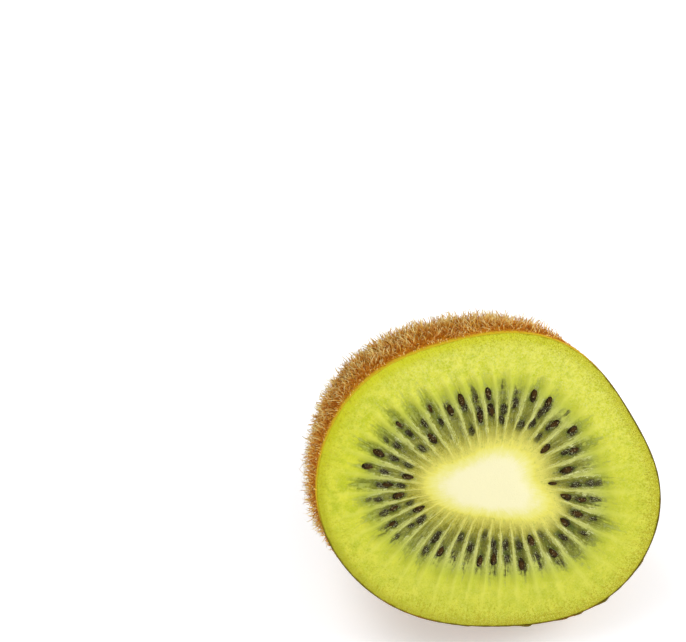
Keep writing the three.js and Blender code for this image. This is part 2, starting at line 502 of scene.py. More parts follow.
def seed_places():
    draw = random_stream(SEED_RANDOM_START)
    places = []
    for locule in range(LOCULES):
        for nearest, farthest, chance in SEED_ROWS:
            lies = next(draw) < chance
            across = locule + 0.5 + mix(-SEED_SIDE_SHIFT, SEED_SIDE_SHIFT, next(draw))
            out = mix(nearest, farthest, next(draw)) * locule_reach(across) / LOCULE_REACH
            twist = mix(-SEED_TWIST, SEED_TWIST, next(draw))
            seed = seed_place(across, out, twist, mix(*SEED_SIZES, next(draw)))
            clear = all(math.hypot(other["x"] - seed["x"], other["y"] - seed["y"]) > SEED_GAP
                        for other in places)
            if lies and clear:
                places.append(seed)
    return places


SEEDS = seed_places()
print("seeds that the knife laid bare:", len(SEEDS))

# %% [markdown]
# ## The flesh
# The flesh is one body: the cut face and, hidden under the skin, the dome. Its relief is shallow but
# real: the core swells a little, the chambers sink between their walls, and the jelly heaps up
# against each seed. More seeds lie buried and only show as dark blurs, so they need no shape. The
# colours follow the rays, so the UV map has the locule along U and the way out along V.

# %% Bare and buried seeds in the flesh
# How far the jelly is heaped up and darkened round a seed, along it and across it, in millimetres.
BARE_HALO = (1.6, 1.1)
BURIED_HALO = (1.35, 0.75)
BURIED_ROWS = ((0.15, 0.27, 0.4), (0.28, 0.42, 0.75), (0.42, 0.56, 0.75))
BURIED_SIDE_SHIFT = 0.16
BURIED_TWIST = 18
BURIED_SIZES = (0.75, 1.15)
buried_random = np.random.default_rng(39)


def seed_blots(x, y, seeds, length, width):
    """How near each point is to a seed: 1 over its middle, fading to 0 round it."""
    blots = np.zeros_like(x)
    for seed in seeds:
        aim = seed_aim(seed)
        dx = x - seed["x"]
        dy = y - seed["y"]
        along = (dx * math.cos(aim) + dy * math.sin(aim)) / (length * seed["size"])
        aside = (dy * math.cos(aim) - dx * math.sin(aim)) / (width * seed["size"])
        blots = np.maximum(blots, np.exp(-2 * (along**2 + aside**2)))
    return blots


def buried_places():
    places = []
    for locule in range(LOCULES):
        for nearest, farthest, chance in BURIED_ROWS:
            if buried_random.random() > chance:
                continue
            across = locule + 0.5 + buried_random.uniform(-BURIED_SIDE_SHIFT, BURIED_SIDE_SHIFT)
            out = buried_random.uniform(nearest, farthest) * locule_reach(across) / LOCULE_REACH
            twist = buried_random.uniform(-BURIED_TWIST, BURIED_TWIST)
            places.append(seed_place(across, out, twist, buried_random.uniform(*BURIED_SIZES)))
    return places


BURIED = buried_places()
print("seeds that lie buried:", len(BURIED))

# %% The flesh as a mesh
SKIN_THICKNESS = 0.17
MEAN_RADIUS = 24.5
# From here out the flesh draws in, to leave room for the skin round it.
TUCK_FROM = 0.85
JELLY_MOUND = 0.16
MOUNDS_FROM = 0.02
MOUNDS_FADE = 0.15
LESSER_SHARE = 0.8


def add_point_values(thing, name, values):
    attribute = thing.data.attributes.new(name, "FLOAT", "POINT")
    attribute.data.foreach_set("value", np.asarray(values, np.float32))


def add_ray_map(thing, locule, out):
    """A UV map whose U runs round the fruit by locule, and whose V runs out from the middle."""
    corners = np.empty(len(thing.data.loops), np.int32)
    thing.data.loops.foreach_get("vertex_index", corners)
    around = locule[corners] / LOCULES
    starts = np.array([face.loop_start for face in thing.data.polygons])
    sizes = np.array([face.loop_total for face in thing.data.polygons])
    face_of = np.repeat(np.arange(len(starts)), sizes)
    # A face over the seam has corners at both ends of U, so the low ones go on past 1.
    highest = np.maximum.reduceat(around, starts)
    around = np.where(highest[face_of] - around > 0.5, around + 1, around)
    # The middle takes the mean U of its face's other corners.
    at_middle = np.isclose(out[corners], -1)
    total = np.add.reduceat(np.where(at_middle, 0, around), starts)
    count = np.add.reduceat(np.where(at_middle, 0, 1), starts)
    around = np.where(at_middle, (total / np.maximum(count, 1))[face_of], around)
    uv = np.column_stack([around, 0.5 + 0.5 * out[corners]])
    thing.data.uv_layers.new(name="rays").data.foreach_set("uv", uv.astype(np.float32).ravel())


def add_flesh():
    flesh = add_ball("kiwi_flesh", COLUMNS, RINGS)
    locule, latitude = ball_places(flesh)
    on_face = latitude >= 0
    out = face_share(np.maximum(latitude, 0))
    reach = locule_reach(locule)
    x, y = face_place(locule, out)
    bare = seed_blots(x, y, SEEDS, *BARE_HALO)
    buried = seed_blots(x, y, BURIED, *BURIED_HALO)
    in_zone = rise(MOUNDS_FROM, LOCULE_SINK_BY, out) * (1 - rise(reach, reach + MOUNDS_FADE, out))
    mounds = np.maximum(bare, LESSER_SHARE * buried) * in_zone
    height = face_height(locule, out) + JELLY_MOUND * mounds
    dome = np.array(dome_place(locule, np.maximum(-latitude, 0)))
    out = np.where(on_face, out, 1)
    shrink = 1 - SKIN_THICKNESS / MEAN_RADIUS * rise(TUCK_FROM, 1, out)
    points = lean_back(np.where(on_face, [x * shrink, y * shrink, height], dome * shrink).T)
    points[:, 2] = np.maximum(points[:, 2], 0.5 * SKIN_THICKNESS * MM)
    set_points(flesh, points)
    add_point_values(flesh, "reach", reach)
    add_point_values(flesh, "near_seed", np.where(on_face, np.maximum(buried, LESSER_SHARE * bare), 0))
    add_ray_map(flesh, locule, out)
    return flesh


flesh = add_flesh()
print("flesh triangles:", 2 * COLUMNS * (RINGS - 1))

# %% [markdown]
# ## The colours of the flesh
# From the middle outwards: a cream core, olive jelly between pale walls, the dark zone round the
# seeds, and the grainy lime green outer flesh. The face could be painted by hand, but the ray map
# knows where everything is. So each part is a mask on that map, roughened by noise.

# %% The colours of the flesh
CORE_WHITE = colour(245, 238, 192)
CORE_CREAM = colour(234, 228, 130)
CORE_YELLOW = colour(228, 220, 96)
WALL_INNER = colour(222, 214, 104)
WALL_MIDDLE = colour(202, 204, 116)
WALL_OUTER = colour(182, 190, 66)
WALL_GLINT_FLECK = colour(236, 240, 176)
OLIVE_YELLOW = colour(206, 196, 78)
OLIVE_BROWN = colour(166, 164, 70)
OLIVE_GREEN = colour(150, 160, 54)
OLIVE_MOSS = colour(116, 118, 26)
OLIVE_DEEP = colour(98, 108, 34)
JELLY_VEIL = colour(192, 200, 104)
JELLY_GREEN = colour(64, 82, 18)
JELLY_DARK = colour(84, 80, 18)
JELLY_BLACK = colour(40, 26, 2)
JELLY_PAINTED_GLINT = colour(216, 220, 158)
LIME = colour(206, 209, 50)
LIME_YELLOW = colour(219, 218, 62)
LIME_GREEN = colour(184, 194, 30)
LIME_PALE = colour(224, 223, 100)
LIME_DULL = colour(192, 194, 88)
LIME_SHEEN = colour(234, 232, 112)
SPOT_GREEN = colour(142, 148, 16)
SPOT_OCHRE = colour(172, 154, 28)
SPOT_BROWN = colour(128, 118, 20)
RIM_YELLOW = colour(210, 210, 34)
RIM_OLIVE = colour(178, 174, 34)
# The sides of the fruit, in degrees, where the outer flesh has a painted sheen, is dullest and is
# least grainy, where its rim is most yellow and has most grit, where the chambers begin farthest out
# and nearest in, and where their jelly is darkest.
SHEEN_SIDE = 90
DULL_SIDE = 290
CALM_SIDE = 150
RIM_YELLOW_SIDE = 130
GRITTY_SIDE = 10
LATE_SIDE = 20
EARLY_SIDE = 255
DENSE_SIDE = 318
print("lime in a shader:", [round(part, 2) for part in LIME])

# %% [markdown]
# ### Streaks and grain
# Two kinds of noise roughen everything. Streaks are read on the ray map, wrapped round a cylinder so
# that they have no seam, and drawn out along the rays like fibres. Grain is read in the piece's own
# space, from specks of juice to clouds. Less one half, a noise shifts an edge both ways.

# %% Streaks and grain
SPECK = 0.15 * MM
GRAIN = 0.32 * MM
GLINT_CURL = 0.5 * MM
CLOT = 0.75 * MM
PATCH = 1.5 * MM
BEND = 3 * MM
CLOUD = 5 * MM
paint = Finish("flesh", Roughness=0.45, Subsurface_Weight=0.05, Subsurface_Radius=(1.0, 1.0, 0.4),
               Subsurface_Scale=0.4 * MM, Coat_Roughness=0.1, Specular_IOR_Level=0.07)
around, along = paint.map_ways("rays")
out = along * 2 - 1


def streak_noise(fineness, length, detail, roughness=0.5):
    turn = around * math.tau
    x, y = (turn.maths(part) * fineness for part in ("COSINE", "SINE"))
    on_cylinder = paint.node("CombineXYZ", None, {0: x, 1: y, 2: out * length})
    return paint.noise(1, detail, roughness, on_cylinder)


def toward(side):
    """From 0 to 1 at the side of the fruit that is given by its angle in degrees."""
    turn = around * math.tau + math.radians(LOCULE_START - side)
    return turn.maths("COSINE") * 0.5 + 0.5


fine = streak_noise(62, 10, 3, 0.65)
thread = streak_noise(34, 4.5, 2, 0.6)
broad = streak_noise(16, 2.5, 2)
streaks = fine * 0.5 + thread * 0.5
speck = paint.noise(SPECK, 2, 0.6)
grain = paint.noise(GRAIN, 3, 0.7)
clot = paint.noise(CLOT, 2, 0.6)
patch = paint.noise(PATCH, 3, 0.6)
cloud = paint.noise(CLOUD, 2)
# These three shift an edge: in streaks, in blobs and in small bristles.
jag = streaks - 0.5
wobble = clot - 0.5
bristle = (grain - 0.5) * 1.6 + (speck - 0.5)
print("nodes so far:", len(paint.tree.nodes))

# %% [markdown]
# ### Walls and chambers
# Counted in locules, the ray map says how far the nearest wall is. Walls wander a little and thicken
# outwards. The chambers between them each end at a length of their own, in feathery strokes.

# %% Walls and chambers
wander = (paint.noise(BEND) - 0.5) * 0.3 + wobble * 0.12
locule = around * LOCULES + wander
number = locule.maths("FLOOR")
own_length = paint.node("TexWhiteNoise", {"noise_dimensions": "1D"}, {"W": number})
from_wall = 0.5 - abs(locule - number - 0.5)
wall = out * out * 0.3 + 0.03 + jag * 0.4 + wobble * (0.15 + out * 0.4)
between = ((from_wall - wall) / (0.1 + out * 0.16)).rise(-0.5, 1.1)
middle = (from_wall + jag * 0.3 + wobble * 0.3).rise(0.08, 0.36)

near_seed = paint.attribute("near_seed")
start = toward(LATE_SIDE) * 0.08 * (1 - near_seed) - toward(EARLY_SIDE).rise(0.5, 0.95) * 0.06
lengthways = toward(0) * 2 - 1
end = paint.attribute("reach") + lengthways * lengthways * 0.13 + own_length * 0.14 - 0.09
end = end + (fine - 0.5) * 0.35 + (thread - 0.5) * 0.55 + wobble * 0.4
zone = (out - start + jag * 0.4).rise(-0.08, 0.13) * (out - end).rise(0.05, -0.15)
chamber = between * zone
print("nodes so far:", len(paint.tree.nodes))

# %% [markdown]
# ### Shadows and painted glints in the jelly
# The jelly is clear, so it looks dark where it is deep: round the seeds and in the belt in which they
# lie. Its wet glints are painted into its colour: in pockets beside the seeds, and in thin curls and
# hairlines, drawn where a noise passes its middle value. The knife has frayed the walls, and pale
# painted glints fleck their edges.

# %% Shadows and painted glints in the jelly
seed_belt = (out + jag * 0.2).rise(0.08, 0.22) * out.rise(0.66, 0.38)
dense = toward(DENSE_SIDE).rise(0.6, 0.98) * 0.22
dark = near_seed * 0.9 + seed_belt * 0.45 + dense + wobble * 1.4 + jag * 0.9 + bristle * 0.5
dark = dark.rise(0.2, 0.9) * (0.2 + seed_belt * 0.65) * (middle * 0.75 + 0.3)
black = (near_seed * 1.5 + wobble * 0.7 + bristle * 0.8).rise(0.55, 0.95) * (0.25 + seed_belt * 0.7)
# Painted glints: pale colour in thin curls, hairlines and pockets that stands for light on the wet jelly.
glint_curls = abs(paint.noise(GLINT_CURL, 2, 0.6) - 0.5).rise(0.03, 0.008) * speck.rise(0.47, 0.57)
glint_hairlines = abs(fine - 0.5).rise(0.03, 0.008) * speck.rise(0.46, 0.56)
painted_glint = (glint_curls * 0.2 + glint_hairlines * 0.9) * (clot + near_seed * 0.2).rise(0.5, 0.64) * seed_belt
glint_pockets = abs(near_seed - 0.22).rise(0.12, 0.03) * (streaks * 0.5 + clot * 0.5).rise(0.52, 0.6)
painted_glint = painted_glint + glint_pockets * (1 - painted_glint) * 0.2
# The knife frays the wall edges, and their pale flecks are painted glints.
frayed_glints = abs(from_wall - wall - 0.05).rise(0.07, 0.02) * (fine * 0.5 + speck * 0.5).rise(0.5, 0.58)
frayed_glints = frayed_glints * zone * out.rise(0.02, 0.15) * out.rise(0.6, 0.4)
print("nodes so far:", len(paint.tree.nodes))

# %% [markdown]
# ### The outer flesh
# Outside the chambers lie yellow and green patches, pale grain, faint rays, and dark dots that
# thicken towards the rim. One is laid over the other, from large to small. Towards the top side a
# painted sheen with painted glints stands for light on the wet flesh.

# %% The outer flesh
# Painted sheen: towards the top side the outer flesh is painted paler, where light catches its wet grain.
top_sheen = toward(SHEEN_SIDE).rise(0.5, 0.98) * out.rise(0.5, 0.68) * out.rise(0.98, 0.85)
dull = toward(DULL_SIDE).rise(0.3, 0.95) * out.rise(0.5, 0.7)
lively = 1 - toward(CALM_SIDE).rise(0.35, 0.95) * 0.45
gritty = toward(GRITTY_SIDE).rise(0.1, 0.8) * out.rise(0.8, 0.96)
yellow_side = toward(RIM_YELLOW_SIDE)
rim = paint.mix(yellow_side.rise(0.5, 0.95), RIM_OLIVE, RIM_YELLOW)
spots = (speck * 0.5 + grain * 0.3 + fine * 0.2).rise(0.48, 0.35) * (out.rise(0.6, 0.9) * 0.6 + 0.15)
ochre = (grain * 0.5 + fine * 0.5).rise(0.54, 0.36) * out.rise(0.72, 0.95)
faint_rays = 1 - (from_wall - (fine - 0.5) * 0.2).rise(0.0, 0.2)
outer = paint.layers(
    LIME_GREEN,
    (patch.rise(0.3, 0.7), LIME_YELLOW),
    (cloud.rise(0.3, 0.7) * 0.5, LIME),
    (grain.rise(0.45, 0.75) * lively * 0.5, LIME_PALE),
    (dull * 0.3, LIME_DULL),
    (out.rise(0.86, 1.0) * 0.8, rim),
    (spots * lively * (1 - top_sheen * 0.4 - gritty * 0.4), SPOT_GREEN),
    (speck.rise(0.44, 0.36) * gritty * 0.8, SPOT_BROWN),
    (speck.rise(0.56, 0.64) * gritty * 0.7, LIME_PALE),
    # Painted sheen and painted glints on the top side.
    (top_sheen * (grain * 0.6 + clot * 0.4).rise(0.35, 0.65) * 0.6, LIME_SHEEN),
    (glint_curls * (top_sheen * 0.5 + 0.15), JELLY_PAINTED_GLINT),
    (ochre * (yellow_side.rise(0.6, 0.1) * 0.35 + 0.3), SPOT_OCHRE),
    (faint_rays * out.rise(0.95, 0.55) * 0.5, LIME_PALE))
print("nodes so far:", len(paint.tree.nodes))

# %% [markdown]
# ### Walls, jelly and core
# The walls melt into the outer flesh. The jelly starts yellow and turns olive and mossy outwards,
# under the shadows and painted glints. The core runs into all this in fine streaks. The flesh is wet,
# so its grain is also a bump that breaks the light into sparks.

# %% Walls, jelly and core
walls = paint.layers(
    WALL_INNER,
    (out.rise(0.0, 0.3), WALL_MIDDLE),
    (out.rise(0.3, 0.6), WALL_OUTER),
    ((grain - fine + wobble * 0.5).rise(0.0, 0.25) * 0.5, OLIVE_GREEN))
mottle = (streaks * 0.9 + clot * 0.6 + (speck - 0.5) * 0.6).rise(0.84, 0.62)
strokes = streaks.rise(0.52, 0.36) * out.rise(0.3, 0.45)
shadow = paint.mix((patch * 0.5 + thread * 0.5).rise(0.42, 0.58), JELLY_GREEN, JELLY_DARK)
jelly = paint.layers(
    OLIVE_YELLOW,
    ((out + jag * 0.3).rise(0.04, 0.3), OLIVE_BROWN),
    (out.rise(0.25, 0.6), OLIVE_GREEN),
    (mottle * (out.rise(0.0, 0.2) * 0.3 + 0.45), OLIVE_MOSS),
    ((streaks * 0.7 + grain * 0.3).rise(0.49, 0.58) * 0.7, walls),
    (strokes * 0.6, OLIVE_DEEP),
    ((clot * 0.5 + thread * 0.5).rise(0.52, 0.62) * 0.5, JELLY_VEIL),
    (dark, shadow),
    (black, JELLY_BLACK),
    (painted_glint * 0.8, JELLY_PAINTED_GLINT))
inner = paint.layers(
    walls,
    (out.rise(0.45, 0.7), outer),
    (chamber, jelly),
    (frayed_glints * 0.6, WALL_GLINT_FLECK))
core_edge = out + (broad - 0.5) * 0.14 + jag * 0.3 + wobble * 0.12
whole = paint.layers(
    CORE_WHITE,
    ((out + (patch - 0.5) * 0.3 + jag * 0.3).rise(-0.45, -0.1), CORE_CREAM),
    (core_edge.rise(-0.15, -0.01), CORE_YELLOW),
    (core_edge.rise(-0.05, 0.03), inner))
height = (grain - 0.5) * 0.5 + (fine - 0.5) * 0.6 * out.rise(-0.1, 0.2) + (speck - 0.5) * 0.5
paint.feed(Base_Color=whole, Normal=paint.bump(height * (1 + chamber * 2), 0.15 * MM, 0.7),
           Roughness=0.4 - chamber * 0.2, Coat_Weight=chamber * 0.04 + 0.05)
wear(flesh, paint)

# %% [markdown]
# ## The skin
# Under its fuzz a kiwi fruit has a thin, tough, brown skin, rubbed on one side by handling. Its cut
# edge shows as a fine ragged line round the green, with a few little flakes that the knife tore
# loose. The ball is cut in half this time, the open half is carried to the dome, and a Solidify
# modifier gives it its thickness inwards.

# %% Lumps, torn flakes and the untouched side
# The skin is untouched between these sides of the fruit, in degrees, and rubbed elsewhere.
UNTOUCHED_FROM = 76
UNTOUCHED_TO = 198
UNTOUCHED_FADE = 22
# Each torn flake: its side of the fruit, and how far it sticks out. It rises slowly along the edge
# and ends short.
FLAKES = ((-16, 0.12), (-35, 0.26), (-45, 0.16), (-50, 0.2), (-63, 0.3), (-84, 0.1))
FLAKE_RISE = 5.0
FLAKE_END = 1.2
FLAKE_DEPTH = 2.0


def lumps(points, size, height):
    """Small uneven swells at each point, in millimetres."""
    return np.array([height * noise.noise(Vector(point / size)) for point in points])


def untouched(side):
    """1 on the untouched side of the fruit and 0 on the rubbed one."""
    return (rise(UNTOUCHED_FROM - UNTOUCHED_FADE, UNTOUCHED_FROM, side)
            * (1 - rise(UNTOUCHED_TO, UNTOUCHED_TO + UNTOUCHED_FADE, side)))


def flakes(side):
    """How far torn flakes stick out at each side of the fruit, in millimetres."""
    total = 0
    for angle, reach in FLAKES:
        past = (side - angle + 180) % 360 - 180
        total = total + reach * rise(-FLAKE_RISE, 0, past) * (1 - rise(0, FLAKE_END, past))
    return total


print("the longest flake sticks out", max(reach for angle, reach in FLAKES), "mm")

# %% The skin as a mesh
SKIN_RINGS = 120
SKIN_COLUMNS = 390
LUMP_SIZE = 6.0
LUMP_HEIGHT = 0.12
LUMPS_FULL_SLOPE = 20
# The ring of points down to this slope is the cut edge, which is ragged and a little raised.
EDGE_SLOPE = 0.5
RAG_SIZE = 0.9
RAG_HEIGHT = 0.12
RAG_LIFT = 0.04


def add_skin():
    skin = add_ball("kiwi_skin", SKIN_COLUMNS, SKIN_RINGS)
    bpy.ops.object.mode_set(mode="EDIT")
    bpy.ops.mesh.select_all(action="SELECT")
    bpy.ops.mesh.bisect(plane_co=(0, 0, 0), plane_no=(0, 0, 1), clear_outer=True)
    bpy.ops.object.mode_set(mode="OBJECT")
    locule, latitude = ball_places(skin)
    slope = np.clip(-latitude, 0, 90)
    side = locule_angle(locule, 1.0) % 360
    points = np.column_stack(dome_place(locule, slope))
    swell = lumps(points, LUMP_SIZE, LUMP_HEIGHT) * rise(0, LUMPS_FULL_SLOPE, slope)
    points *= 1 + swell[:, None] / MEAN_RADIUS
    torn = flakes(side) * (1 - rise(0, FLAKE_DEPTH, slope))
    points[:, :2] *= 1 + torn[:, None] / MEAN_RADIUS
    points[:, 2] += np.where(slope < EDGE_SLOPE, lumps(points, RAG_SIZE, RAG_HEIGHT) + RAG_LIFT, 0)
    points = lean_back(points)
    points[:, 2] = np.maximum(points[:, 2], 0)
    set_points(skin, points)
    add_point_values(skin, "slope", slope)
    add_point_values(skin, "untouched", untouched(side))
    return skin


def thicken(thing, thickness):
    modifier = thing.modifiers.new("thickness", "SOLIDIFY")
    modifier.thickness = thickness
    modifier.offset = -1
    modifier.use_even_offset = True
    bpy.context.view_layer.objects.active = thing
    bpy.ops.object.modifier_apply(modifier=modifier.name)


skin = add_skin()
outer_skin = get_points(skin)
# A new ball's faces come in any order. Sorted, they give every run the same fuzz.
outer_faces = np.array(sorted(face.vertices[:] for face in skin.data.polygons if len(face.vertices) == 4))
thicken(skin, SKIN_THICKNESS * MM)
print("skin points:", len(skin.data.vertices))

# %% [markdown]
# ## The colours of the skin
# The skin is the ground for the hairs: orange near the cut, a painted glow of the light that shines
# through there, then brown, olive and green farther down, with dark specks. The cut edge is a bright
# ochre line on the untouched side and a worn one on the rubbed side.

# %% The finish of the skin
SKIN_OCHRE = colour(208, 176, 36)
SKIN_ORANGE_GLOW = colour(196, 122, 10)
SKIN_BROWN = colour(152, 102, 34)
SKIN_OLIVE = colour(146, 114, 38)
SKIN_GREEN = colour(128, 116, 38)
SKIN_DARK = colour(88, 54, 16)
SKIN_EDGE_OLIVE = colour(112, 100, 34)


def skin_finish():
    paint = Finish("skin", Roughness=0.7, Specular_IOR_Level=0.04)
    slope = paint.attribute("slope")
    bright_side = paint.attribute("untouched")
    cloud = paint.noise(9 * MM, 2)
    patch = paint.noise(3 * MM, 3, 0.6)
    specks = paint.noise(0.5 * MM, 3, 0.6)
    worn_edge = paint.mix((cloud * 0.5 + specks * 0.5).rise(0.48, 0.66), SKIN_EDGE_OLIVE, SKIN_BROWN)
    whole = paint.layers(
        SKIN_BROWN,
        (cloud.rise(0.38, 0.6), SKIN_OLIVE),
        (patch.rise(0.5, 0.65) * 0.7, SKIN_GREEN),
        # Painted glow: orange near the cut for light shining through the skin.
        (slope.rise(18, 4) * bright_side * bright_side * 0.9, SKIN_ORANGE_GLOW),
        (specks.rise(0.5, 0.68) * 0.85, SKIN_DARK),
        (slope.rise(2.0, 0.4) * bright_side, SKIN_OCHRE),
        (slope.rise(1.4, 0.2) * (1 - bright_side), worn_edge))
    paint.feed(Base_Color=whole, Normal=paint.bump(specks, 0.15 * MM, 0.6))
    return paint


wear(skin, skin_finish())

# %% [markdown]
# ## The seeds
# A seed is a flat, pointed oval, dark and shiny. One is shaped from a ball: its inner end is drawn
# out to a point. Its copies are laid along their locules, each sunk and tipped a little differently,
# and joined into one piece.

# %% One seed
SEED_TAPER = 0.5
SEED_KEEL = 0.25


def shape_seed():
    """One seed at its real size, lying flat with its blunt end along +Y."""
    seed = add_ball("one seed", columns=20, rings=14)
    x, z, y = get_points(seed).T / 2
    y = -y
    slim = 1 + SEED_TAPER * y
    keel = 1 - SEED_KEEL * np.abs(x)
    set_points(seed, np.column_stack([x * slim * SEED_WIDTH, y * SEED_LENGTH, z * keel * SEED_THICKNESS]))
    add_point_values(seed, "top", 2 * z)
    return seed


seed_pattern = shape_seed()
print("points of one seed:", len(seed_pattern.data.vertices))

# %% All the seeds as one piece
SEED_SUNK = 0.4
SEED_TILT = 14
SEED_ROLL = 18


def copy_at(pattern, points):
    """A copy of a piece, with a mesh of its own that has the given points."""
    bpy.ops.object.select_all(action="DESELECT")
    pattern.select_set(True)
    bpy.context.view_layer.objects.active = pattern
    bpy.ops.object.duplicate()
    set_points(bpy.context.object, points)
    return bpy.context.object


def join_pieces(pieces, name):
    bpy.ops.object.select_all(action="DESELECT")
    for piece in pieces:
        piece.select_set(True)
    bpy.context.view_layer.objects.active = pieces[0]
    bpy.ops.object.join()
    pieces[0].name = name
    pieces[0].data.name = name
    return pieces[0]


def add_seeds(pattern):
    shape = get_points(pattern)
    tip = random_stream(SEED_RANDOM_START + 1)
    copies = []
    for seed in SEEDS:
        turn = Matrix.Rotation(seed_aim(seed) - math.pi / 2, 3, "Z")
        tilt = Matrix.Rotation(math.radians(mix(-SEED_TILT, SEED_TILT, next(tip))), 3, "X")
        roll = Matrix.Rotation(math.radians(mix(-SEED_ROLL, SEED_ROLL, next(tip))), 3, "Y")
        sunk = SEED_SUNK * max(0, 2 * next(tip) - 1)
        top = float(face_height(seed["across"], seed["out"])) + SEED_PROUD - sunk
        middle = np.array([seed["x"], seed["y"], top - 0.5 * SEED_THICKNESS * seed["size"]])
        placed = (shape * seed["size"]) @ np.array(turn @ tilt @ roll).T + middle
        copies.append(copy_at(pattern, lean_back(placed)))
    bpy.data.objects.remove(pattern)
    return join_pieces(copies, "kiwi_seeds")


seeds = add_seeds(seed_pattern)
print("seed points:", len(seeds.data.vertices))

# %% The finish of the seeds
SEED_BLACK = colour(36, 24, 0)
SEED_LIT_BROWN = colour(66, 44, 6)
SEED_GLINT_FLECK = colour(190, 180, 130)


def seed_finish():
    """Black sides, a brown top that is partly a painted highlight, and flecks of dried jelly with painted
    glints.
    """
    paint = Finish("seed", Roughness=0.25, Specular_IOR_Level=0.08)
    patch = paint.noise(0.9 * MM, 2)
    pits = paint.noise(0.12 * MM, 2)
    glint_flecks = paint.noise(0.25 * MM, 2, 0.6)
    # The brown top is partly a painted highlight, and the pale flecks are painted glints.
    whole = paint.layers(
        SEED_BLACK,
        ((paint.attribute("top") * 0.8 + patch).rise(0.9, 1.35), SEED_LIT_BROWN),
        (glint_flecks.rise(0.6, 0.68) * 0.6, SEED_GLINT_FLECK))
    paint.feed(Base_Color=whole, Normal=paint.bump(pits, 0.05 * MM, 0.5))
    return paint


wear(seeds, seed_finish())

# %% [markdown]
# ## The fuzz
# The skin is covered with fine, stiff, slightly curled hairs, up to nearly three millimetres long.
# Each is a real mesh here: a three-sided spike that ends in a point. All hairs of a coat are placed
# at once in one array of points, because thousands of separate objects would be slow. There are
# three coats: low dark down, a middle coat and long pale hairs.

# %% The coats of the fuzz
# Each coat: how many hairs, shortest and longest in mm, thickness at the root in mm, how far they
# lean over, and the share of pale ones.
COATS = {
    "kiwi_fuzz_low": (12000, 0.7, 1.3, 0.09, 2.2, 0.0),
    "kiwi_fuzz_middle": (10000, 1.0, 1.9, 0.12, 1.1, 0.4),
    "kiwi_fuzz_long": (6000, 1.5, 2.7, 0.15, 0.8, 0.85),
}
hair_random = np.random.default_rng(7)


def hair_roots(count):
    """Random places on the outer skin, as likely anywhere, with the way out of the skin there."""
    quads = outer_skin[outer_faces]
    triangles = np.concatenate([quads[:, [0, 1, 2]], quads[:, [0, 2, 3]]])
    one_side = triangles[:, 1] - triangles[:, 0]
    other_side = triangles[:, 2] - triangles[:, 0]
    normals = np.cross(one_side, other_side)
    areas = np.linalg.norm(normals, axis=1)
    off_floor = triangles[:, :, 2].max(1) > 0.05 * MM
    chances = areas * off_floor
    chosen = hair_random.choice(len(chances), count, p=chances / chances.sum())
    a, b = hair_random.random((2, count))[:, :, None]
    over = a + b > 1
    a, b = np.where(over, 1 - a, a), np.where(over, 1 - b, b)
    roots = triangles[chosen, 0] + a * one_side[chosen] + b * other_side[chosen]
    return roots, normals[chosen] / areas[chosen, None]


print("hairs in all:", sum(count for count, *rest in COATS.values()))

# %% [markdown]
# ### How a hair stands
# A hair leans over more and more towards its tip. Neighbours lean the same way, so the fuzz falls in
# tufts. On the rubbed side, near the cut, it is matted: hairs there are shorter and lie flat, away
# from the cut. All round, hairs are shortest next to the cut.

# %% How a hair stands
HAIR_BENDS = (0.0, 0.33, 0.67, 1.0)
# Two sizes of tufts: how much they lean, how wide they are in mm, and their shift of the noise.
TUFTS = ((1.2, 2.8, 0), (0.8, 0.9, 9))
HAIR_STRAY = 0.32
HAIR_CURL = 0.2
# How deep below the cut fuzz is matted, how many degrees sooner than the skin it changes on its way
# round, and how much less it leans freely and stands up, and how much it lies away from the cut.
MATTED_DEPTH = 24
MATTED_LEAD = 9
MATTED_CALM = 0.6
MATTED_FLAT = 0.8
MATTED_LEAN = 1.6
SHORT_DEPTH = 4.5
SHORTEST_SHARE = 0.16


def tufts(roots, size, shift):
    """A lean for each root that its neighbours share."""
    step = Vector((shift, 0, 0))
    return np.array([noise.noise_vector(Vector(root / (size * MM)) + step) for root in roots])


def across_skin(ways, normals):
    """The part of each way that runs along the skin."""
    return ways - (ways * normals).sum(1)[:, None] * normals


def hair_spines(count, shortest, longest, lean):
    """The bends of each hair from root to tip, the way out of the skin at its root, and its depth."""
    roots, normals = hair_roots(count)
    in_fruit = (roots - np.array(FACE_PLACE)) / MM @ np.array(LEAN)
    side = np.degrees(np.arctan2(in_fruit[:, 1], in_fruit[:, 0])) % 360
    depth = -in_fruit[:, 2]
    matted = (1 - untouched(side + MATTED_LEAD)) * (1 - rise(0.5 * MATTED_DEPTH, MATTED_DEPTH, depth))
    calm = 1 - MATTED_CALM * matted
    to_stalk = across_skin(np.broadcast_to(-np.array(LEAN)[:, 2], normals.shape), normals)
    aside = sum(strength * tufts(roots, size, shift) for strength, size, shift in TUFTS)
    aside = across_skin(aside + hair_random.normal(0, HAIR_STRAY, (count, 3)), normals)
    aside = aside * (lean * calm)[:, None] + to_stalk * (MATTED_LEAN * matted)[:, None]
    curl = across_skin(hair_random.normal(0, HAIR_CURL, (count, 3)), normals)
    length = (shortest + (longest - shortest) * hair_random.random(count) ** 1.5) * MM
    length *= mix(SHORTEST_SHARE, 1, rise(0, SHORT_DEPTH, depth)) * calm
    upright = normals * (1 - MATTED_FLAT * matted)[:, None]
    spine = []
    for share in HAIR_BENDS:
        way = upright * share * (1 - 0.3 * share) + aside * (0.4 * share + 0.6 * share * share)
        spine.append(way + curl * math.sin(math.pi * share))
    reach = np.linalg.norm(spine[-1], axis=1)
    stretch = (length / np.maximum(reach, 0.6))[:, None]
    return np.stack([roots + way * stretch for way in spine], 1), normals, depth


print("bends of a hair:", len(HAIR_BENDS))

# %% The mesh of a hair
HAIR_SIDES = 3
HAIR_SUNK = 0.1
HAIR_TAPER = 0.35
LOWEST_HAIR = 0.02


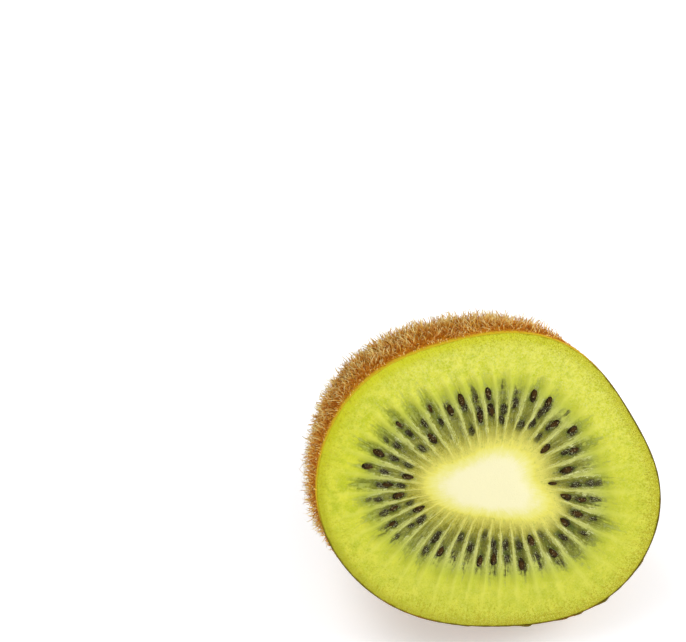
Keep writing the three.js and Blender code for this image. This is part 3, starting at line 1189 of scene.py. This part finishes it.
def hair_points(spines, normals, thickness):
    """A ring of points round each bend of each hair, and its tip."""
    count = len(spines)
    ahead = spines[:, 1] - spines[:, 0]
    ahead /= np.linalg.norm(ahead, axis=1)[:, None]
    side = np.cross(ahead, hair_random.normal(0, 1, (count, 3)))
    side /= np.linalg.norm(side, axis=1)[:, None]
    other = np.cross(ahead, side)
    turns = np.arange(HAIR_SIDES) * math.tau / HAIR_SIDES
    ring = side[:, None] * np.cos(turns)[:, None] + other[:, None] * np.sin(turns)[:, None]
    half = 0.5 * thickness * MM
    rings = [spines[:, bend:bend + 1] + ring * half * (1 - HAIR_TAPER * share)
             for bend, share in enumerate(HAIR_BENDS[:-1])]
    rings[0] = rings[0] - HAIR_SUNK * MM * normals[:, None]
    points = np.concatenate([*rings, spines[:, -1:]], 1)
    points[..., 2] = np.maximum(points[..., 2], LOWEST_HAIR * MM)
    return points


def hair_faces():
    """The faces of one hair: bands of sides, the tip, and the end that is hidden in the skin."""
    faces = [(2, 1, 0)]
    last_ring = HAIR_SIDES * (len(HAIR_BENDS) - 2)
    for corner in range(HAIR_SIDES):
        following = (corner + 1) % HAIR_SIDES
        for ring in range(0, last_ring, HAIR_SIDES):
            above = ring + HAIR_SIDES
            faces.append((ring + corner, ring + following, above + following))
            faces.append((ring + corner, above + following, above + corner))
        faces.append((last_ring + corner, last_ring + following, last_ring + HAIR_SIDES))
    return np.array(faces)


print("triangles of a hair:", len(hair_faces()))

# %% [markdown]
# ### The colours of the hairs
# Near the cut hairs are golden orange, partly a painted glow of the light that comes through them, and
# farther back olive. Some are pale, some dark, and all get paler towards the tip. The colour map has
# four strips side by side, from golden to olive, with dark hairs at the start of a strip and pale ones
# at its end. A hair covers a thin sliver of it, from root to tip.

# %% The finish of the fuzz
HAIR_STRIPS = 4
# The colours of the roots of dark and pale hairs, and then of their tips.
# Golden near the cut is partly a painted glow of light coming through the hairs.
GOLDEN_GLOW_HAIR = (colour(196, 102, 6), colour(255, 202, 76), colour(226, 144, 36), colour(255, 240, 170))
OLIVE_HAIR = (colour(164, 104, 22), colour(234, 178, 78), colour(208, 146, 50), colour(252, 218, 134))


def hair_colour(paint, tone, along, colours):
    dark_root, pale_root, dark_tip, pale_tip = colours
    root = paint.mix(tone, dark_root, pale_root)
    return paint.mix(along.rise(0.1, 0.85), root, paint.mix(tone, dark_tip, pale_tip))


def fuzz_finish():
    paint = Finish("fuzz", Roughness=0.6, Specular_IOR_Level=0.02)
    across, along = paint.map_ways("OFBake")
    across = across * HAIR_STRIPS
    strip = across.maths("FLOOR")
    golden, olive = (hair_colour(paint, across - strip, along, colours)
                     for colours in (GOLDEN_GLOW_HAIR, OLIVE_HAIR))
    paint.feed(Base_Color=paint.mix(strip / (HAIR_STRIPS - 1), golden, olive))
    return paint


fuzz_paint = fuzz_finish()
print("strips of hair colours:", HAIR_STRIPS)

# %% The coats as meshes
PALE_TONE = 0.9
DARK_TONE = 0.12
TONE_SPREAD = 0.1
SLIVER = 0.002
# How deep below the cut hairs start to turn from golden to olive, and where all have.
GOLDEN_DEPTH = 9
OLIVE_DEPTH = 22
DEPTH_SPREAD = 2


def add_coat(name, count, shortest, longest, thickness, lean, pale):
    spines, normals, depth = hair_spines(count, shortest, longest, lean)
    points = hair_points(spines, normals, thickness)
    per_hair = points.shape[1]
    faces = (hair_faces()[None] + per_hair * np.arange(count)[:, None, None]).reshape(-1, 3)
    mesh = bpy.data.meshes.new(name)
    mesh.from_pydata(points.reshape(-1, 3).tolist(), [], faces.tolist())
    mesh.shade_smooth()
    tone = np.where(hair_random.random(count) < pale, PALE_TONE, DARK_TONE)
    tone = np.clip(tone + hair_random.normal(0, TONE_SPREAD, count), 0.04, 0.94)
    olive = rise(GOLDEN_DEPTH, OLIVE_DEPTH, depth + hair_random.normal(0, DEPTH_SPREAD, count))
    across = (tone + np.round(olive * (HAIR_STRIPS - 1))) / HAIR_STRIPS
    wide = np.array([*np.tile([0, SLIVER, 2 * SLIVER], len(HAIR_BENDS) - 1), SLIVER])
    along = np.array([*np.repeat(HAIR_BENDS[:-1], HAIR_SIDES), 1.0])
    uv_points = np.stack([across[:, None] + wide, np.broadcast_to(along, (count, per_hair))], -1)
    uv = uv_points.reshape(-1, 2)[faces.ravel()]
    mesh.uv_layers.new(name="OFBake").data.foreach_set("uv", uv.astype(np.float32).ravel())
    coat = bpy.data.objects.new(name, mesh)
    bpy.context.scene.collection.objects.link(coat)
    wear(coat, fuzz_paint)
    return coat


coats = [add_coat(name, *settings) for name, settings in COATS.items()]
print("triangles of each coat:", [len(coat.data.polygons) for coat in coats])

# %% [markdown]
# ## The stalk end
# Where the fruit hung from its stalk a small woody scar is left, with dry shreds round it. The scar
# is a blunt cone whose end is inset and pushed in. One shred is a flattened cone, and its copies
# stand round the scar, bent outwards.

# %% The scar
SCAR_RADIUS = 1.7
SCAR_TOP_RADIUS = 1.3
SCAR_HEIGHT = 2.2
SCAR_PROUD = 0.9
SCAR_SIDES = 40
# Each inset of the scar's end: its width, and how far it goes in or out.
SCAR_INSETS = ((0.3, 0), (0.25, -0.35), (0.4, 0.1))
SCAR_LUMP = 0.16


def add_cone(**sizes):
    """A cone that is left in edit mode."""
    bpy.ops.object.select_all(action="DESELECT")
    bpy.ops.mesh.primitive_cone_add(**sizes)
    bpy.ops.object.mode_set(mode="EDIT")
    return bpy.context.object


def divide_faces(cuts):
    """Cuts all faces of the piece in hand into small triangles, and leaves edit mode."""
    bpy.ops.mesh.select_all(action="SELECT")
    bpy.ops.mesh.quads_convert_to_tris()
    bpy.ops.mesh.subdivide(number_cuts=cuts)
    bpy.ops.object.mode_set(mode="OBJECT")
    bpy.ops.object.shade_smooth()


def shape_scar():
    """The scar, with its hollow end pointing down from the middle of the frame."""
    scar = add_cone(vertices=SCAR_SIDES, radius1=SCAR_TOP_RADIUS, radius2=SCAR_RADIUS, depth=SCAR_HEIGHT)
    bpy.ops.mesh.select_all(action="DESELECT")
    bpy.ops.object.mode_set(mode="OBJECT")
    for face in scar.data.polygons:
        face.select = face.normal.z < -0.9
    bpy.ops.object.mode_set(mode="EDIT")
    for width, way_in in SCAR_INSETS:
        bpy.ops.mesh.inset(thickness=width, depth=way_in)
    divide_faces(2)
    points = get_points(scar)
    rough = np.array([noise.noise_vector(Vector(point) * 1.4) for point in points])
    set_points(scar, points + SCAR_LUMP * rough)
    return scar


scar = shape_scar()
print("points of the scar:", len(scar.data.vertices))

# %% One shred
SHRED_LENGTH = 2.4
SHRED_WIDTH = 0.7
SHRED_THICKNESS = 0.18
SHRED_BEND = 0.5


def shape_shred():
    """One dry shred: a flat cone that stands on the frame's middle and points down."""
    shred = add_cone(vertices=8, radius1=0.5, radius2=0.06, depth=1)
    divide_faces(3)
    x, y, z = get_points(shred).T
    z = -0.5 - z
    bend = SHRED_BEND * z * z * SHRED_LENGTH
    set_points(shred, np.column_stack([x * SHRED_WIDTH, y * SHRED_THICKNESS + bend, z * SHRED_LENGTH]))
    # Turning the cone over has turned its faces inwards.
    bpy.ops.object.mode_set(mode="EDIT")
    bpy.ops.mesh.select_all(action="SELECT")
    bpy.ops.mesh.normals_make_consistent(inside=False)
    bpy.ops.object.mode_set(mode="OBJECT")
    return shred


shred_pattern = shape_shred()
print("points of one shred:", len(shred_pattern.data.vertices))

# %% The stalk end as one piece
SHREDS = 9
SHRED_SIZES = (0.5, 1.0)
SHRED_STRAY = 0.2
SHRED_SUNK = 0.5
DIMPLE_FLOOR = DIMPLE_DEPTH - DOME_DEPTH
scar_random = np.random.default_rng(5)


def add_stalk_end(scar, shred):
    pole = np.array([*POLE_SHIFT, 0])
    scar_middle = pole + [0, 0, DIMPLE_FLOOR - SCAR_PROUD + 0.5 * SCAR_HEIGHT]
    set_points(scar, lean_back(get_points(scar) + scar_middle))
    shape = get_points(shred)
    stand = np.array([0, 0.93 * SCAR_RADIUS, DIMPLE_FLOOR + SHRED_SUNK])
    pieces = [scar]
    for number in range(SHREDS):
        angle = math.tau * number / SHREDS + scar_random.uniform(-SHRED_STRAY, SHRED_STRAY)
        turn = np.array(Matrix.Rotation(angle, 3, "Z"))
        size = scar_random.uniform(*SHRED_SIZES)
        pieces.append(copy_at(shred, lean_back((shape * size + stand) @ turn.T + pole)))
    bpy.data.objects.remove(shred)
    return join_pieces(pieces, "kiwi_stalk_scar")


scar = add_stalk_end(scar, shred_pattern)
print("stalk end points:", len(scar.data.vertices))

# %% The finish of the scar
WOOD_DARK = colour(48, 30, 16)
WOOD_PALE = colour(120, 82, 46)


def scar_finish():
    paint = Finish("scar", Roughness=0.85, Specular_IOR_Level=0.2)
    fibres = paint.noise(0.4 * MM, 3, 0.7)
    brown = paint.mix(fibres.rise(0.35, 0.65), WOOD_DARK, WOOD_PALE)
    paint.feed(Base_Color=brown, Normal=paint.bump(fibres, 0.2 * MM, 0.8))
    return paint


wear(scar, scar_finish())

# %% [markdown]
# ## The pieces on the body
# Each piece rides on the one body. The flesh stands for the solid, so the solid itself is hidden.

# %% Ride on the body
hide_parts("kiwi_half")
for piece, slot_name in ((flesh, "flesh"), (skin, "skin"), (scar, "skin"), (seeds, "seed"),
                         *((coat, "fuzz") for coat in coats)):
    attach(piece, "root")
